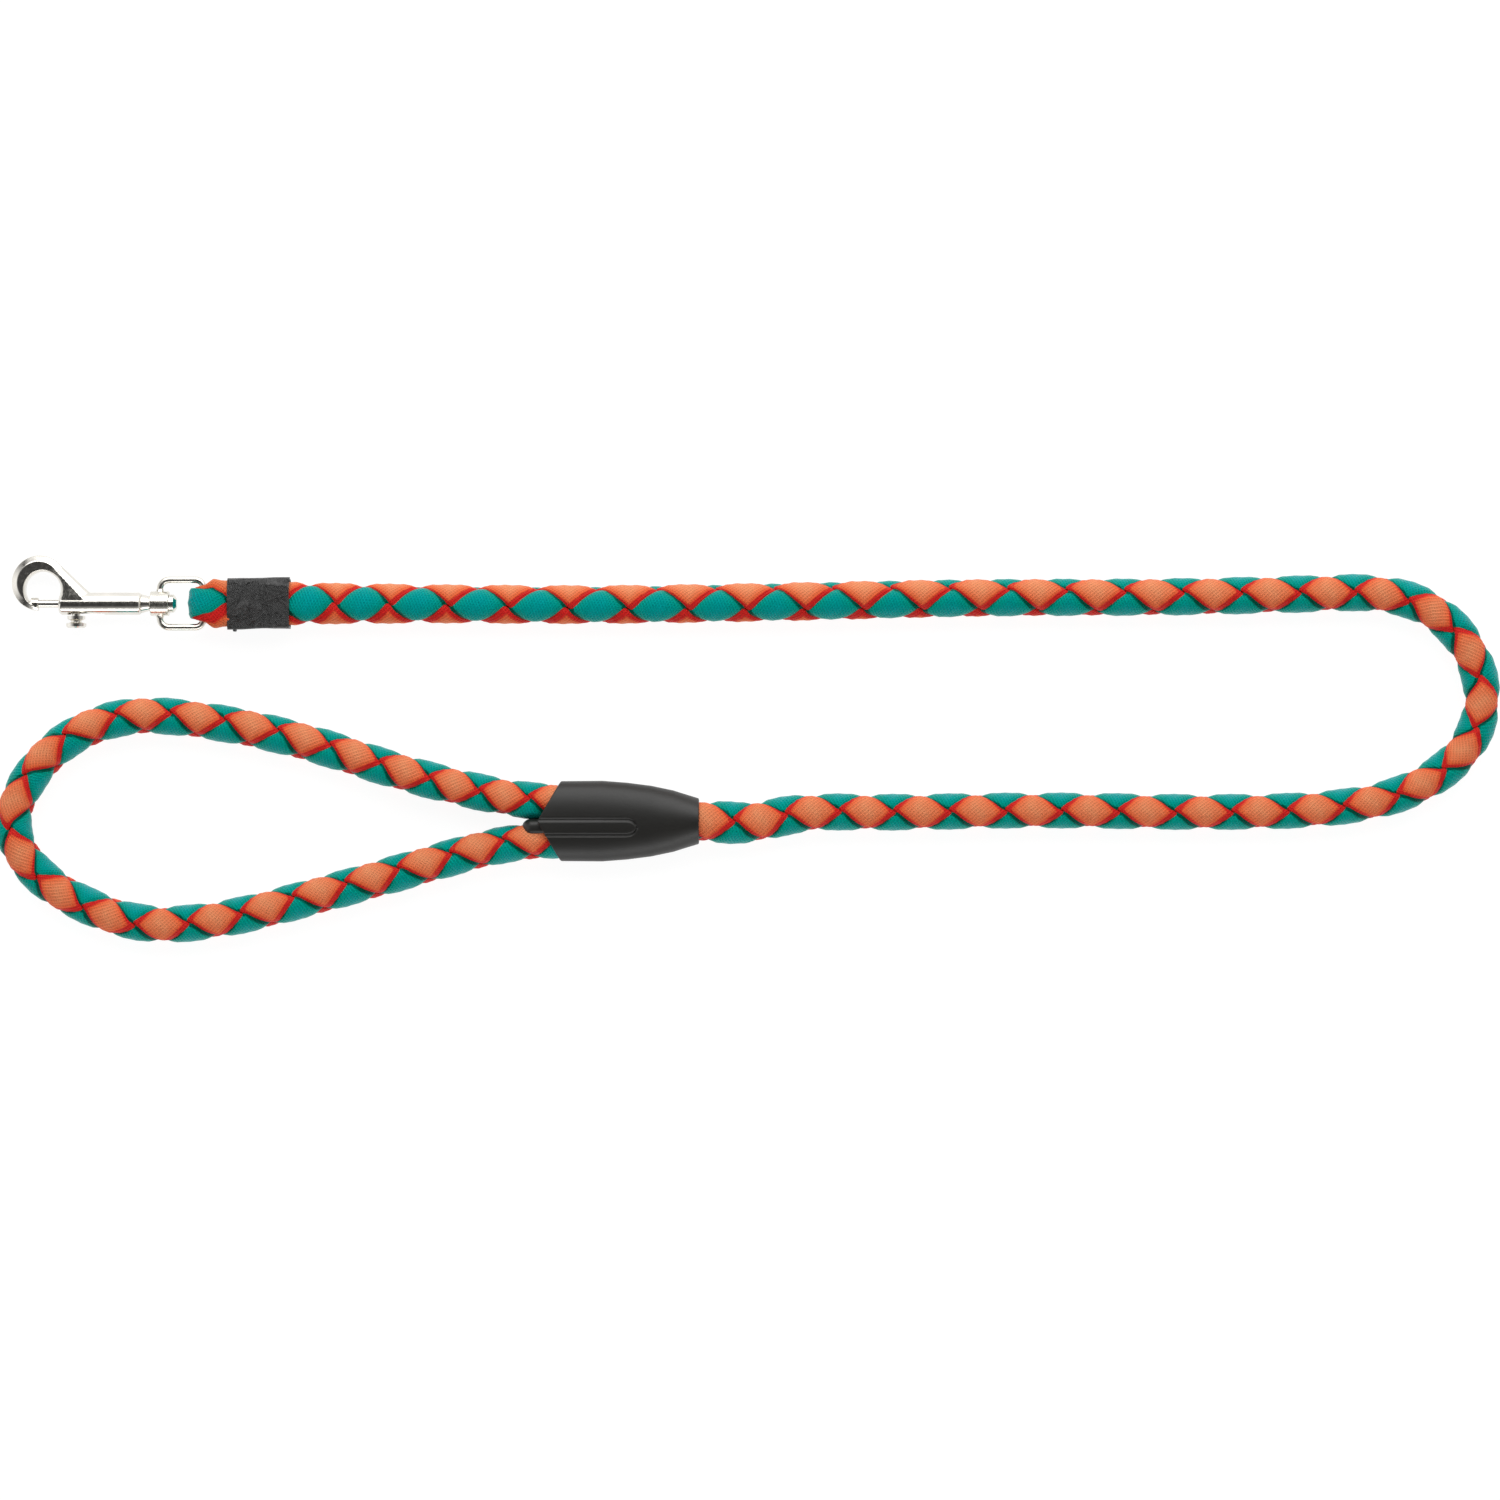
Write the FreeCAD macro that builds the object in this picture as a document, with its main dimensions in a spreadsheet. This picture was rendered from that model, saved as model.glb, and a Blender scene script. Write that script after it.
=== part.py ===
"""Short braided lead rope: bolt snap on a swivel loop, rope eye, label band, hand loop in a moulded sleeve.

The lead lies flat on the plane z = 0. The snap points along -X and the hand loop turns back beneath it.
The snap is drawn in its own frame: x = 0, z = 0 is the centre of the swivel loop's back bar, the snap's
axis runs along -x and its gate closes towards -x. One placement then tips the whole snap about that bar.
"""
import FreeCAD, Part
import math
import os
import re

import Sketcher

Vector = FreeCAD.Vector

DIMENSIONS = {
    # the rope and how it lies
    "rope_diameter": 12.0,
    "core_diameter": 4.5,
    "core_clearance": 0.05,
    # bolt snap: ring, neck and barrel
    "ring_radius": 9.0,
    "ring_reach": 6.5,
    "ring_y": 6.7,
    "ring_thickness": 5.0,
    "ring_bevel": 1.9,
    "ring_bevel_height": 1.4,
    "hole_radius": 5.8,
    "hole_reach": 5.2,
    "hole_y": 4.6,
    "hole_bevel": 1.1,
    "mouth_width": 6.8,
    "tip_radius": 2.0,
    "tip_length": 2.4,
    "recess_depth": 1.3,
    "neck_angle": 43.0,
    "neck_length": 14.7,
    "neck_rib_start": 1.8,
    "neck_rib_end": 2.6,
    "web_top": 4.2,
    "barrel_radius": 3.65,
    "barrel_length": 27.0,
    "barrel_bevel": 0.7,
    "front_wall": 2.6,
    # gate plunger, thumb stud and spring
    "pin_radius": 1.3,
    "pin_bevel": 0.3,
    "running_clearance": 0.05,
    "piston_radius": 2.25,
    "piston_length": 5.4,
    "gate_travel": 7.8,
    "stud_offset": 2.8,
    "stud_neck_radius": 1.4,
    "stud_knob_radius": 3.3,
    "stud_knob_height": 3.9,
    "stud_collar_radius": 2.9,
    "slot_clearance": 0.15,
    "wire_diameter": 0.5,
    "spring_turns": 8.0,
    # swivel rivet and swivel loop
    "plug_length": 3.0,
    "collar_radius": 3.1,
    "collar_length": 2.8,
    "shank_radius": 1.7,
    "rivet_head_radius": 3.0,
    "rivet_head_length": 2.4,
    "end_play": 0.1,
    "boss_radius": 4.0,
    "boss_length": 6.0,
    "bar_radius": 1.1,
    "shoulder_radius": 3.2,
    "loop_width": 15.4,
    "loop_reach": 14.1,
    "front_corner": 3.0,
    "back_corner": 2.5,
    # rope eye, label band and its stitching
    "eye_x": -177.0,
    "eye_y": 47.5,
    "eye_gap": 0.4,
    "fold_thickness": 3.65,
    "fold_clearance": 0.45,
    "eye_width": 16.3,
    "flare_start": 1.2,
    "flare_end": 3.6,
    "crotch_length": 6.0,
    "eye_corner": 2.4,
    "band_start": 8.1,
    "band_length": 20.1,
    "band_wall": 0.6,
    "band_clearance": 0.1,
    "thread_diameter": 0.8,
    "stitch_pitch": 4.0,
    "stitch_inset": 4.0,
    # moulded sleeve over the sewn join of the hand loop
    "sleeve_y": -23.2,
    "sleeve_wall": 1.3,
    "rope_clearance": 0.15,
    "sleeve_end": -15.8,
    "join_end": -24.0,
    "join_full": -42.0,
    "join_start": -52.0,
    "leg_run": 15.0,
    "entry_run": 11.0,
    "mouth_tip": -68.2,
    "mouth_angle": 31.0,
    "tongue_width": 5.6,
    "tongue_offset": -2.2,
    "tongue_end": -36.0,
    "tongue_rise": 0.35,
    "nub_length": 5.1,
}

# Sizes that follow from the others, as spreadsheet formulas.
DERIVED = {
    "barrel_front": "-(loop_reach + boss_length / 2 + end_play + collar_length + barrel_length)",
    "piston_front": "barrel_front + front_wall + end_play",
    "ring_x": "barrel_front - ring_reach",
    "hole_x": "barrel_front - hole_reach",
    "fold_width": "loop_width - 2 * bar_radius - 2 * fold_clearance",
    "eye_length": "band_start + band_length",
    "leg_offset": "rope_diameter / 2",
    "web_root": "2 * barrel_radius - 0.1",
}

# Points of the lead between the rope eye and the sleeve: x and y in millimetres, and how far it is lifted
# off the floor as a share of the sleeve's wall.
LEAD_POINTS = [
    (-105.0, 47.5, 0.0), (-50.0, 47.0, 0.0), (12.0, 48.0, 0.0), (75.0, 49.5, 0.0), (135.0, 49.5, 0.0),
    (178.0, 50.5, 0.0), (211.0, 51.5, 0.0), (230.0, 41.0, 0.0), (240.0, 21.5, 0.0), (236.0, 1.5, 0.0),
    (218.5, -13.0, 0.0), (193.0, -19.5, 0.0), (150.0, -20.5, 0.0), (95.0, -19.5, 0.0), (45.0, -20.5, 0.0),
    (18.0, -20.0, 0.0), (1.0, -24.2, 0.15),
]

# Points of the hand loop between the sleeve's two mouths, in the same way.
HAND_POINTS = [
    (-85.0, -14.5, 0.0), (-113.0, -7.5, 0.0), (-144.0, 3.0, 0.0), (-174.0, 9.5, 0.0), (-201.0, 12.0, 0.0),
    (-221.0, 4.5, 0.0), (-234.0, -8.5, 0.0), (-240.5, -25.0, 0.0), (-232.5, -40.0, 0.0),
    (-216.5, -50.5, 0.0), (-196.0, -57.5, 0.0), (-170.0, -55.5, 0.0), (-138.0, -47.0, 0.0),
    (-109.0, -38.8, 0.0), (-84.0, -31.5, 0.0),
]

# Half widths of the sleeve at shares of its length from the wide end, each as a share of the way from the
# narrow end's half width to the widest.
SLEEVE_TAPER = [(0.0, 1.0), (0.30, 1.0), (0.48, 0.955), (0.66, 0.875), (0.82, 0.75), (1.0, 0.0)]

ARC_SHARE = 0.45
LEG_POINTS = 4  # points of the hand loop's route that lie in and just outside the sleeve
ALONG_X = FreeCAD.Rotation(Vector(0, 1, 0), 90)
ALONG_Y = FreeCAD.Rotation(Vector(1, 0, 0), -90)
DISC_UP = FreeCAD.Rotation(Vector(0, 1, 0), -90)
STUD_DOWN = FreeCAD.Rotation(Vector(0, 0, 1), -90)
NO_TURN = FreeCAD.Rotation()

doc = FreeCAD.newDocument("LeadRope")


def make_sheet():
    """Write every size, and every formula that follows from them, to the spreadsheet under its own alias."""
    sheet = doc.addObject("Spreadsheet::Sheet", "Sizes")
    rows = [*DIMENSIONS.items(), *((alias, f"={formula}") for alias, formula in DERIVED.items())]
    for row, (alias, value) in enumerate(rows, start=1):
        sheet.set(f"A{row}", alias)
        sheet.set(f"B{row}", str(value))
        sheet.setAlias(f"B{row}", alias)
    doc.recompute()
    return sheet


def size(alias):
    return float(sheet.get(alias))


def bound(text):
    """The expression with each alias in it pointing at the spreadsheet."""
    return re.sub(r"[a-z]+(?:_[a-z]+)+", lambda word: f"Sizes.{word.group(0)}", str(text))


def place(thing, at, turn=NO_TURN):
    thing.Placement = FreeCAD.Placement(Vector(), turn)
    for axis, text in zip("xyz", at):
        if text != "0":
            thing.setExpression(f"Placement.Base.{axis}", bound(text))
    return thing


def primitive(kind, name, sizes, at=("0", "0", "0"), turn=NO_TURN):
    thing = doc.addObject(f"Part::{kind}", name)
    for prop, text in sizes.items():
        thing.setExpression(prop, bound(text))
    return place(thing, at, turn)


def rod(name, radius, length, at, turn=ALONG_X):
    """A cylinder that starts at a point and runs along +X unless it is turned."""
    return primitive("Cylinder", name, {"Radius": radius, "Height": length}, at, turn)


def block(name, length, width, height, at, turn=NO_TURN):
    return primitive("Box", name, {"Length": length, "Width": width, "Height": height}, at, turn)


def fused(name, parts):
    thing = doc.addObject("Part::MultiFuse", name)
    thing.Shapes = parts
    return thing


def common(name, parts):
    thing = doc.addObject("Part::MultiCommon", name)
    thing.Shapes = parts
    return thing


def cut(name, base, tools):
    thing = doc.addObject("Part::Cut", name)
    thing.Base = base
    thing.Tool = tools[0] if len(tools) == 1 else fused(f"{name}_tools", tools)
    return thing


def feature(name, shape):
    thing = doc.addObject("Part::Feature", name)
    thing.Shape = shape
    return thing


def origin_plane(body, role):
    return next(item for item in body.Origin.OriginFeatures if item.Role == role)


def polygon_sketch(body, points, plane="XY_Plane"):
    """A closed outline whose corners are held at the two expressions given for each."""
    sketch = body.newObject("Sketcher::SketchObject", f"{body.Name}_outline")
    sketch.AttachmentSupport = [(origin_plane(body, plane), "")]
    sketch.MapMode = "FlatFace"
    count = len(points)
    turn = 2 * math.pi / count
    starts = [Vector(5 * math.cos(turn * i), 5 * math.sin(turn * i), 0) for i in range(count)]
    for i in range(count):
        sketch.addGeometry(Part.LineSegment(starts[i], starts[(i + 1) % count]), False)
    for i in range(count):
        sketch.addConstraint(Sketcher.Constraint("Coincident", i, 2, (i + 1) % count, 1))
    for i, corner in enumerate(points):
        for kind, value, text in zip(("DistanceX", "DistanceY"), starts[i], corner):
            index = sketch.addConstraint(Sketcher.Constraint(kind, -1, 1, i, 1, value))
            label = f"{kind}_{i}"
            sketch.renameConstraint(index, label)
            sketch.setExpression(f"Constraints.{label}", bound(text))
    return sketch


def turned(name, outline, at=("0", "0", "0"), turn=NO_TURN):
    """A body of revolution about its own X axis, from (along the axis, radius) corners."""
    body = doc.addObject("PartDesign::Body", name)
    sketch = polygon_sketch(body, outline)
    revolution = body.newObject("PartDesign::Revolution", f"{name}_turned")
    revolution.Profile = sketch
    revolution.ReferenceAxis = (sketch, ["H_Axis"])
    revolution.Angle = 360.0
    body.Tip = revolution
    return place(body, at, turn)


def plate(name, outline, thickness, plane="XY_Plane"):
    """A flat plate, centred on the plane its outline is drawn in."""
    body = doc.addObject("PartDesign::Body", name)
    pad = body.newObject("PartDesign::Pad", f"{name}_pad")
    pad.Profile = polygon_sketch(body, outline, plane)
    pad.Midplane = True
    pad.setExpression("Length", bound(thickness))
    body.Tip = pad
    return body


def rounded_bar(name, length, width, height, radius, start):
    """A bar along +X, centred in Y and Z, with its four long edges rounded."""
    box = block(f"{name}_box", length, width, height, (start, f"-({width}) / 2", f"-({height}) / 2"))
    doc.recompute()
    bar = doc.addObject("Part::Fillet", name)
    bar.Base = box
    along = [i for i, edge in enumerate(box.Shape.Edges, start=1) if abs(edge.tangentAt(0).x) > 0.9]
    bar.Edges = [(i, size(radius), size(radius)) for i in along]
    return bar


# ---------------------------------------------------------------- rope routes


def lifted(points):
    """The points with each lift turned into the height of the rope's axis."""
    return [(x, y, size("rope_diameter") / 2 + lift * size("sleeve_wall")) for x, y, lift in points]


def lead_route():
    """The lead's axis from the rope eye, round the far bend, to the sewn join."""
    start, y = size("eye_x") + size("eye_length"), size("sleeve_y")
    end = [(size("join_end") + size("entry_run"), y, 1.0), (size("join_end"), y, 1.0)]
    return lifted([(start, size("eye_y"), 0.0), *LEAD_POINTS, *end])


def hand_route():
    """The hand loop's axis from the sewn join, round the loop and back to the join."""
    near, far = size("join_start"), size("join_start") - size("leg_run")
    upper, lower = size("sleeve_y") + size("leg_offset"), size("sleeve_y") - size("leg_offset")
    start = [(near, upper, 1.0), (far, upper, 1.0)]
    return lifted([*start, *HAND_POINTS, (far, lower, 1.0), (near, lower, 1.0)])


def route_wire(name, points):
    """Straight runs joined by tangent arcs, each as large as its two runs allow."""
    corners = [Vector(*point) for point in points]
    edges = []
    here = corners[0]
    radii = []
    for before, corner, after in zip(corners, corners[1:], corners[2:]):
        inward = (before - corner).normalize()
        onward = (after - corner).normalize()
        half_turn = (math.pi - inward.getAngle(onward)) / 2
        reach = ARC_SHARE * min((before - corner).Length, (after - corner).Length)
        radius = reach / math.tan(half_turn)
        radii.append(round(radius, 1))
        first = corner + inward * reach
        last = corner + onward * reach
        to_centre = (inward + onward).normalize()
        middle = corner + to_centre * (radius / math.cos(half_turn) - radius)
        edges.append(Part.LineSegment(here, first).toShape())
        edges.append(Part.Arc(first, middle, last).toShape())
        here = last
    edges.append(Part.LineSegment(here, corners[-1]).toShape())
    print(f"{name}: bend radii {radii}")
    return Part.Wire(edges)


def tube(wire, outer_diameter, inner_diameter=0.0):
    """Sweep a round section, hollow where an inner diameter is given, along the route."""
    start = wire.Edges[0]
    centre, direction = start.valueAt(start.FirstParameter), start.tangentAt(start.FirstParameter)

    def swept(diameter):
        ring = Part.Wire([Part.makeCircle(diameter / 2, centre, direction)])
        return wire.makePipeShell([ring], True, False)

    shape = swept(outer_diameter)
    if inner_diameter:
        shape = shape.cut(swept(inner_diameter))
    section = math.pi * (outer_diameter ** 2 - inner_diameter ** 2) / 4
    share = shape.Volume / (section * wire.Length)
    print(f"tube of {wire.Length:.1f} mm holds {share:.4f} of its section times its length")
    if abs(share - 1) > 0.01:
        raise RuntimeError("a tube's volume differs from its section times its length")
    return shape


def slot_wire(x, y, z, half_width, radius):
    """A slot-shaped outline in the plane across X: two half circles joined by straight sides."""
    reach = max(half_width - radius, 0.05)
    low, high = y - reach, y + reach
    bends = ((0, radius), (radius, 0), (0, -radius))
    high_top, high_side, high_foot = (Vector(x, high + out, z + up) for out, up in bends)
    low_top, low_side, low_foot = (Vector(x, low - out, z + up) for out, up in bends)
    return Part.Wire([
        Part.makeLine(low_top, high_top), Part.Arc(high_top, high_side, high_foot).toShape(),
        Part.makeLine(high_foot, low_foot), Part.Arc(low_foot, low_side, low_top).toShape(),
    ])


# ---------------------------------------------------------------- bolt snap


def make_hook_body():
    """Cast ring, neck and barrel in one piece, bored for the plunger, its spring and its stud."""
    half = "ring_thickness / 2"
    disc = turned("ring_disc", [
        (f"-{half}", "0"), (f"-{half}", "ring_radius - ring_bevel"),
        (f"-{half} + ring_bevel_height", "ring_radius"), (f"{half} - ring_bevel_height", "ring_radius"),
        (half, "ring_radius - ring_bevel"), (half, "0"),
    ], ("ring_x", "ring_y", "0"), DISC_UP)
    top_x = "ring_x + ring_radius * sin(neck_angle)"
    top_y = "ring_y + ring_radius * cos(neck_angle)"
    foot_x = f"{top_x} + neck_length * cos(neck_angle)"
    foot_y = f"{top_y} - neck_length * sin(neck_angle)"
    rib_start = (f"{top_x} - neck_rib_start * sin(neck_angle)",
                 f"{top_y} - neck_rib_start * cos(neck_angle)")
    rib_end = (f"{foot_x} - neck_rib_end * sin(neck_angle)",
               f"{foot_y} - neck_rib_end * cos(neck_angle)")
    outline = plate("web_outline", [
        ("ring_x", "ring_y"), rib_start, rib_end, (rib_end[0], "0"), ("barrel_front", "0"),
    ], "web_root")
    # The web's flanks lean in, from nearly the barrel's width at the barrel to the ring's at its top.
    flanks = primitive("Wedge", "web_flanks", {
        "Xmin": "ring_x - 1", "Xmax": foot_x, "X2min": "ring_x - 1", "X2max": foot_x,
        "Ymin": "0", "Ymax": "ring_y + ring_radius",
        "Zmin": "-web_root / 2", "Zmax": "web_root / 2", "Z2min": "-web_top / 2", "Z2max": "web_top / 2",
    })
    web = common("neck_web", [outline, flanks])
    splay = math.degrees(math.atan((size("neck_rib_end") - size("neck_rib_start")) / size("neck_length")))
    rib = primitive("Cone", "neck_rib", {
        "Radius1": "neck_rib_start", "Radius2": "neck_rib_end", "Height": "neck_length",
    }, (*rib_start, "0"), FreeCAD.Rotation(Vector(0, 0, 1), -size("neck_angle") - splay) * ALONG_X)
    rear = "barrel_front + barrel_length"
    barrel = turned("barrel_outside", [
        ("barrel_front", "0"), ("barrel_front", "barrel_radius - barrel_bevel"),
        ("barrel_front + barrel_bevel", "barrel_radius"), (f"{rear} - barrel_bevel", "barrel_radius"),
        (rear, "barrel_radius - barrel_bevel"), (rear, "0"),
    ])
    ring_hole = rod("ring_hole", "hole_radius", "2 * ring_thickness",
                    ("hole_x", "hole_y", "-ring_thickness"), NO_TURN)
    upper_bevel = primitive("Cone", "upper_bevel", {
        "Radius1": "hole_radius", "Radius2": "hole_radius + hole_bevel", "Height": "2 * hole_bevel",
    }, ("hole_x", "hole_y", f"{half} - hole_bevel"))
    lower_bevel = primitive("Cone", "lower_bevel", {
        "Radius1": "hole_radius + hole_bevel", "Radius2": "hole_radius", "Height": "2 * hole_bevel",
    }, ("hole_x", "hole_y", f"-{half} - hole_bevel"))
    mouth = block("mouth", "mouth_width", "2 * tip_radius + 3", "2 * ring_thickness",
                  ("barrel_front - mouth_width", "-2 * tip_radius", "-ring_thickness"))
    casting = cut("casting", fused("casting_blank", [disc, web, rib, barrel]),
                  [ring_hole, upper_bevel, lower_bevel, mouth])
    mouth_left = "barrel_front - mouth_width"
    tip = rod("tip_boss", "tip_radius", "tip_length", (f"{mouth_left} - tip_length", "0", "0"))
    recess = rod("tip_recess", "pin_radius + running_clearance + 0.05", "recess_depth + 0.1",
                 (f"{mouth_left} - recess_depth", "0", "0"))
    pin_hole = rod("pin_hole", "pin_radius + running_clearance", "front_wall + 2",
                   ("barrel_front - 1", "0", "0"))
    bore = rod("spring_bore", "piston_radius + running_clearance", "barrel_length",
               ("barrel_front + front_wall", "0", "0"))
    neck = "stud_neck_radius + slot_clearance"
    slot = block("stud_slot", f"gate_travel + 2 * ({neck})", "barrel_radius + 1", f"2 * ({neck})",
                 (f"piston_front + stud_offset - ({neck})", "-barrel_radius - 1", f"-({neck})"))
    return cut("hook_body", fused("casting_with_tip", [casting, tip]), [recess, pin_hole, bore, slot])


def make_plunger():
    """Gate pin and piston in one turned piece, cross drilled for the thumb stud."""
    tip = "barrel_front - mouth_width - recess_depth + 0.2"
    back = "piston_front + piston_length"
    blank = turned("plunger_blank", [
        (tip, "0"), (tip, "pin_radius - pin_bevel"), (f"{tip} + pin_bevel", "pin_radius"),
        ("piston_front", "pin_radius"), ("piston_front", "piston_radius"),
        (back, "piston_radius"), (back, "0"),
    ])
    hole = rod("stud_hole", "stud_neck_radius", "2 * piston_radius",
               ("piston_front + stud_offset", "-2 * piston_radius + 1", "0"), ALONG_Y)
    return cut("plunger", blank, [hole])


def make_thumb_stud():
    """Mushroom stud pressed into the piston; its flared knob stands clear of the barrel."""
    knob_start = "barrel_radius + 0.35"
    knob_end = f"{knob_start} + stud_knob_height"
    stud = turned("thumb_stud_turned", [
        ("-0.9", "0"), ("-0.9", "stud_neck_radius"), (knob_start, "stud_neck_radius"),
        (knob_start, "stud_collar_radius"), (f"{knob_start} + 0.28 * stud_knob_height", "stud_collar_radius"),
        (f"{knob_start} + 0.4 * stud_knob_height", "0.6 * stud_collar_radius"),
        (f"{knob_start} + 0.5 * stud_knob_height", "0.6 * stud_collar_radius"),
        (f"{knob_start} + 0.62 * stud_knob_height", "stud_knob_radius"),
        (f"{knob_end} - 0.5", "stud_knob_radius"), (knob_end, "stud_knob_radius - 0.6"),
        (knob_end, "0.5 * stud_knob_radius"), (f"{knob_end} - 0.4", "0"),
    ], ("piston_front + stud_offset", "0", "0"), STUD_DOWN)
    return fused("thumb_stud", [stud, rod("stud_heart", "stud_neck_radius / 2", "0.8",
                                          ("piston_front + stud_offset", "-0.8", "0"), ALONG_Y)])


def make_swivel_rivet():
    """Plug that closes the spring bore, tapered collar, shank through the boss and peened head."""
    rear = "barrel_front + barrel_length"
    collar_end = f"{rear} + collar_length"
    head = f"{collar_end} + boss_length + 2 * end_play"
    return turned("swivel_rivet", [
        (f"{rear} - plug_length", "0"), (f"{rear} - plug_length", "piston_radius + running_clearance"),
        (rear, "piston_radius + running_clearance"), (rear, "collar_radius"),
        (collar_end, "0.75 * collar_radius"), (collar_end, "shank_radius"), (head, "shank_radius"),
        (head, "rivet_head_radius"), (f"{head} + 0.6 * rivet_head_length", "rivet_head_radius"),
        (f"{head} + rivet_head_length", "0.55 * rivet_head_radius"), (f"{head} + rivet_head_length", "0"),
    ])


def make_plunger_spring():
    """Helical compression spring between the piston and the rivet's plug."""
    wire_radius = size("wire_diameter") / 2
    start = size("piston_front") + size("piston_length") + size("end_play") + wire_radius
    end = size("barrel_front") + size("barrel_length") - size("plug_length") - size("end_play") - wire_radius
    coil_radius = size("piston_radius") - wire_radius - 0.1
    helix = Part.makeHelix((end - start) / size("spring_turns"), end - start, coil_radius)
    section = Part.Wire([Part.makeCircle(wire_radius, Vector(coil_radius, 0, 0), Vector(0, 1, 0))])
    coil = Part.Wire(helix.Edges).makePipeShell([section], True, True)
    coil.rotate(Vector(), Vector(0, 1, 0), 90)
    coil.translate(Vector(start, 0, 0))
    return feature("plunger_spring", coil)


def make_swivel_loop():
    """Rectangular loop of round bar with a bored boss on its front bar for the swivel rivet."""
    boss_front = "barrel_front + barrel_length + collar_length + end_play"
    front = "-loop_reach"
    side = "loop_width / 2"
    parts = [
        rod("boss", "boss_radius", "boss_length", (boss_front, "0", "0")),
        rod("back_bar", "bar_radius", "loop_width - 2 * back_corner",
            ("0", f"-{side} + back_corner", "0"), ALONG_Y),
        rod("front_bar", "bar_radius", "loop_width - 2 * front_corner",
            (front, f"-{side} + front_corner", "0"), ALONG_Y),
    ]
    for label, sign in (("left", "-"), ("right", "")):
        parts.append(rod(f"{label}_bar", "bar_radius", "loop_reach - front_corner - back_corner",
                         (f"{front} + front_corner", f"{sign}{side}", "0")))
    shoulder = {"Radius1": "shoulder_radius", "Radius2": "bar_radius", "Height": f"{side} - front_corner"}
    parts.append(primitive("Cone", "right_shoulder", shoulder, (front, "0", "0"), ALONG_Y))
    parts.append(primitive("Cone", "left_shoulder", shoulder, (front, "0", "0"),
                           FreeCAD.Rotation(Vector(1, 0, 0), 90)))
    corners = [
        ("back_right", "back_corner", "-back_corner", f"{side} - back_corner", 0),
        ("front_right", "front_corner", f"{front} + front_corner", f"{side} - front_corner", 90),
        ("front_left", "front_corner", f"{front} + front_corner", f"-{side} + front_corner", 180),
        ("back_left", "back_corner", "-back_corner", f"-{side} + back_corner", 270),
    ]
    for label, radius, x, y, angle in corners:
        corner = primitive("Torus", f"{label}_bend", {"Radius1": radius, "Radius2": "bar_radius"},
                           (x, y, "0"), FreeCAD.Rotation(Vector(0, 0, 1), angle))
        corner.Angle3 = 90
        parts.append(corner)
    bore = rod("boss_bore", "shank_radius + running_clearance", "boss_length + 2",
               (f"{boss_front} - 1", "0", "0"))
    return cut("swivel_loop", fused("loop_bars", parts), [bore])


# ---------------------------------------------------------------- rope eye and band


def eye_half_height():
    return "bar_radius + eye_gap + fold_thickness"


def make_stitches(name, x_start, count, length, rows, axis_turn, base):
    """Rows of straight threads through a layer; each row is a line of rods a pitch apart."""
    threads = []
    for row, across in enumerate(rows):
        for index in range(count):
            at = (f"{x_start} + {index} * stitch_pitch", across, base)
            threads.append(rod(f"{name}_{row}_{index}", "thread_diameter / 2", length, at, axis_turn))
    return fused(name, threads)


def make_eye_stitches(name):
    """Two rows of thread straight through both layers of the eye, under the band."""
    half = eye_half_height()
    return make_stitches(name, "band_start + stitch_inset", 4, f"2 * ({half})",
                         ("-stitch_inset", "stitch_inset"), NO_TURN, f"-({half})")


def make_rope_eye():
    """The flattened rope folded back on itself round the loop's back bar."""
    half = eye_half_height()
    plan = plate("eye_plan", [
        (f"-({half})", "-fold_width / 2"), ("flare_start", "-fold_width / 2"),
        ("flare_end", "-eye_width / 2"), ("eye_length", "-eye_width / 2"),
        ("eye_length", "eye_width / 2"), ("flare_end", "eye_width / 2"),
        ("flare_start", "fold_width / 2"), (f"-({half})", "fold_width / 2"),
    ], f"2 * ({half})")
    bar = rounded_bar("eye_section", f"eye_length + {half}", "eye_width", f"2 * ({half})", "eye_corner",
                      f"-({half})")
    nose = rod("eye_nose", half, "eye_width", ("0", "-eye_width / 2", "0"), ALONG_Y)
    layers = block("eye_layers", "eye_length", "eye_width", f"2 * ({half})",
                   ("0", "-eye_width / 2", f"-({half})"))
    folded = common("eye_folded", [plan, bar, fused("eye_side", [nose, layers])])
    window = rod("eye_window", "bar_radius + eye_gap", "eye_width + 2",
                 ("0", "-eye_width / 2 - 1", "0"), ALONG_Y)
    wedge = plate("eye_wedge", [
        ("0", "-bar_radius - eye_gap"), ("crotch_length", "0"), ("0", "bar_radius + eye_gap"),
    ], "eye_width + 2", "XZ_Plane")
    return cut("rope_eye", folded, [window, wedge, make_eye_stitches("eye_needle_holes")])


def make_label_band():
    """Woven band wrapped round both layers of the eye."""
    width = "eye_width + 2 * band_clearance"
    height = f"2 * ({eye_half_height()} + band_clearance)"
    outside = rounded_bar("band_outside", "band_length", f"{width} + 2 * band_wall",
                          f"{height} + 2 * band_wall", "eye_corner", "band_start")
    inside = rounded_bar("band_inside", "band_length + 2", width, height, "eye_corner", "band_start - 1")
    return cut("label_band", outside, [inside])


# ---------------------------------------------------------------- ropes, join and sleeve


def make_rope(name, core_name, route):
    wire = route_wire(name, route)
    core = size("core_diameter")
    cover = feature(name, tube(wire, size("rope_diameter"), core + 2 * size("core_clearance")))
    return cover, feature(core_name, tube(wire, core))


def join_sections(grow):
    """Outlines of the join, from one rope at the lead end to two ropes side by side."""
    y, z = size("sleeve_y"), ROPE_LIFT
    radius = size("rope_diameter") / 2 + grow
    wide = size("leg_offset") + radius
    middle = (size("join_end") + size("join_full")) / 2
    steps = [
        (size("join_end"), radius), (middle, radius + 0.5 * size("leg_offset")),
        (size("join_full"), wide), (size("join_start"), wide),
    ]
    return [slot_wire(x, y, z, half_width, radius) for x, half_width in steps]


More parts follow.
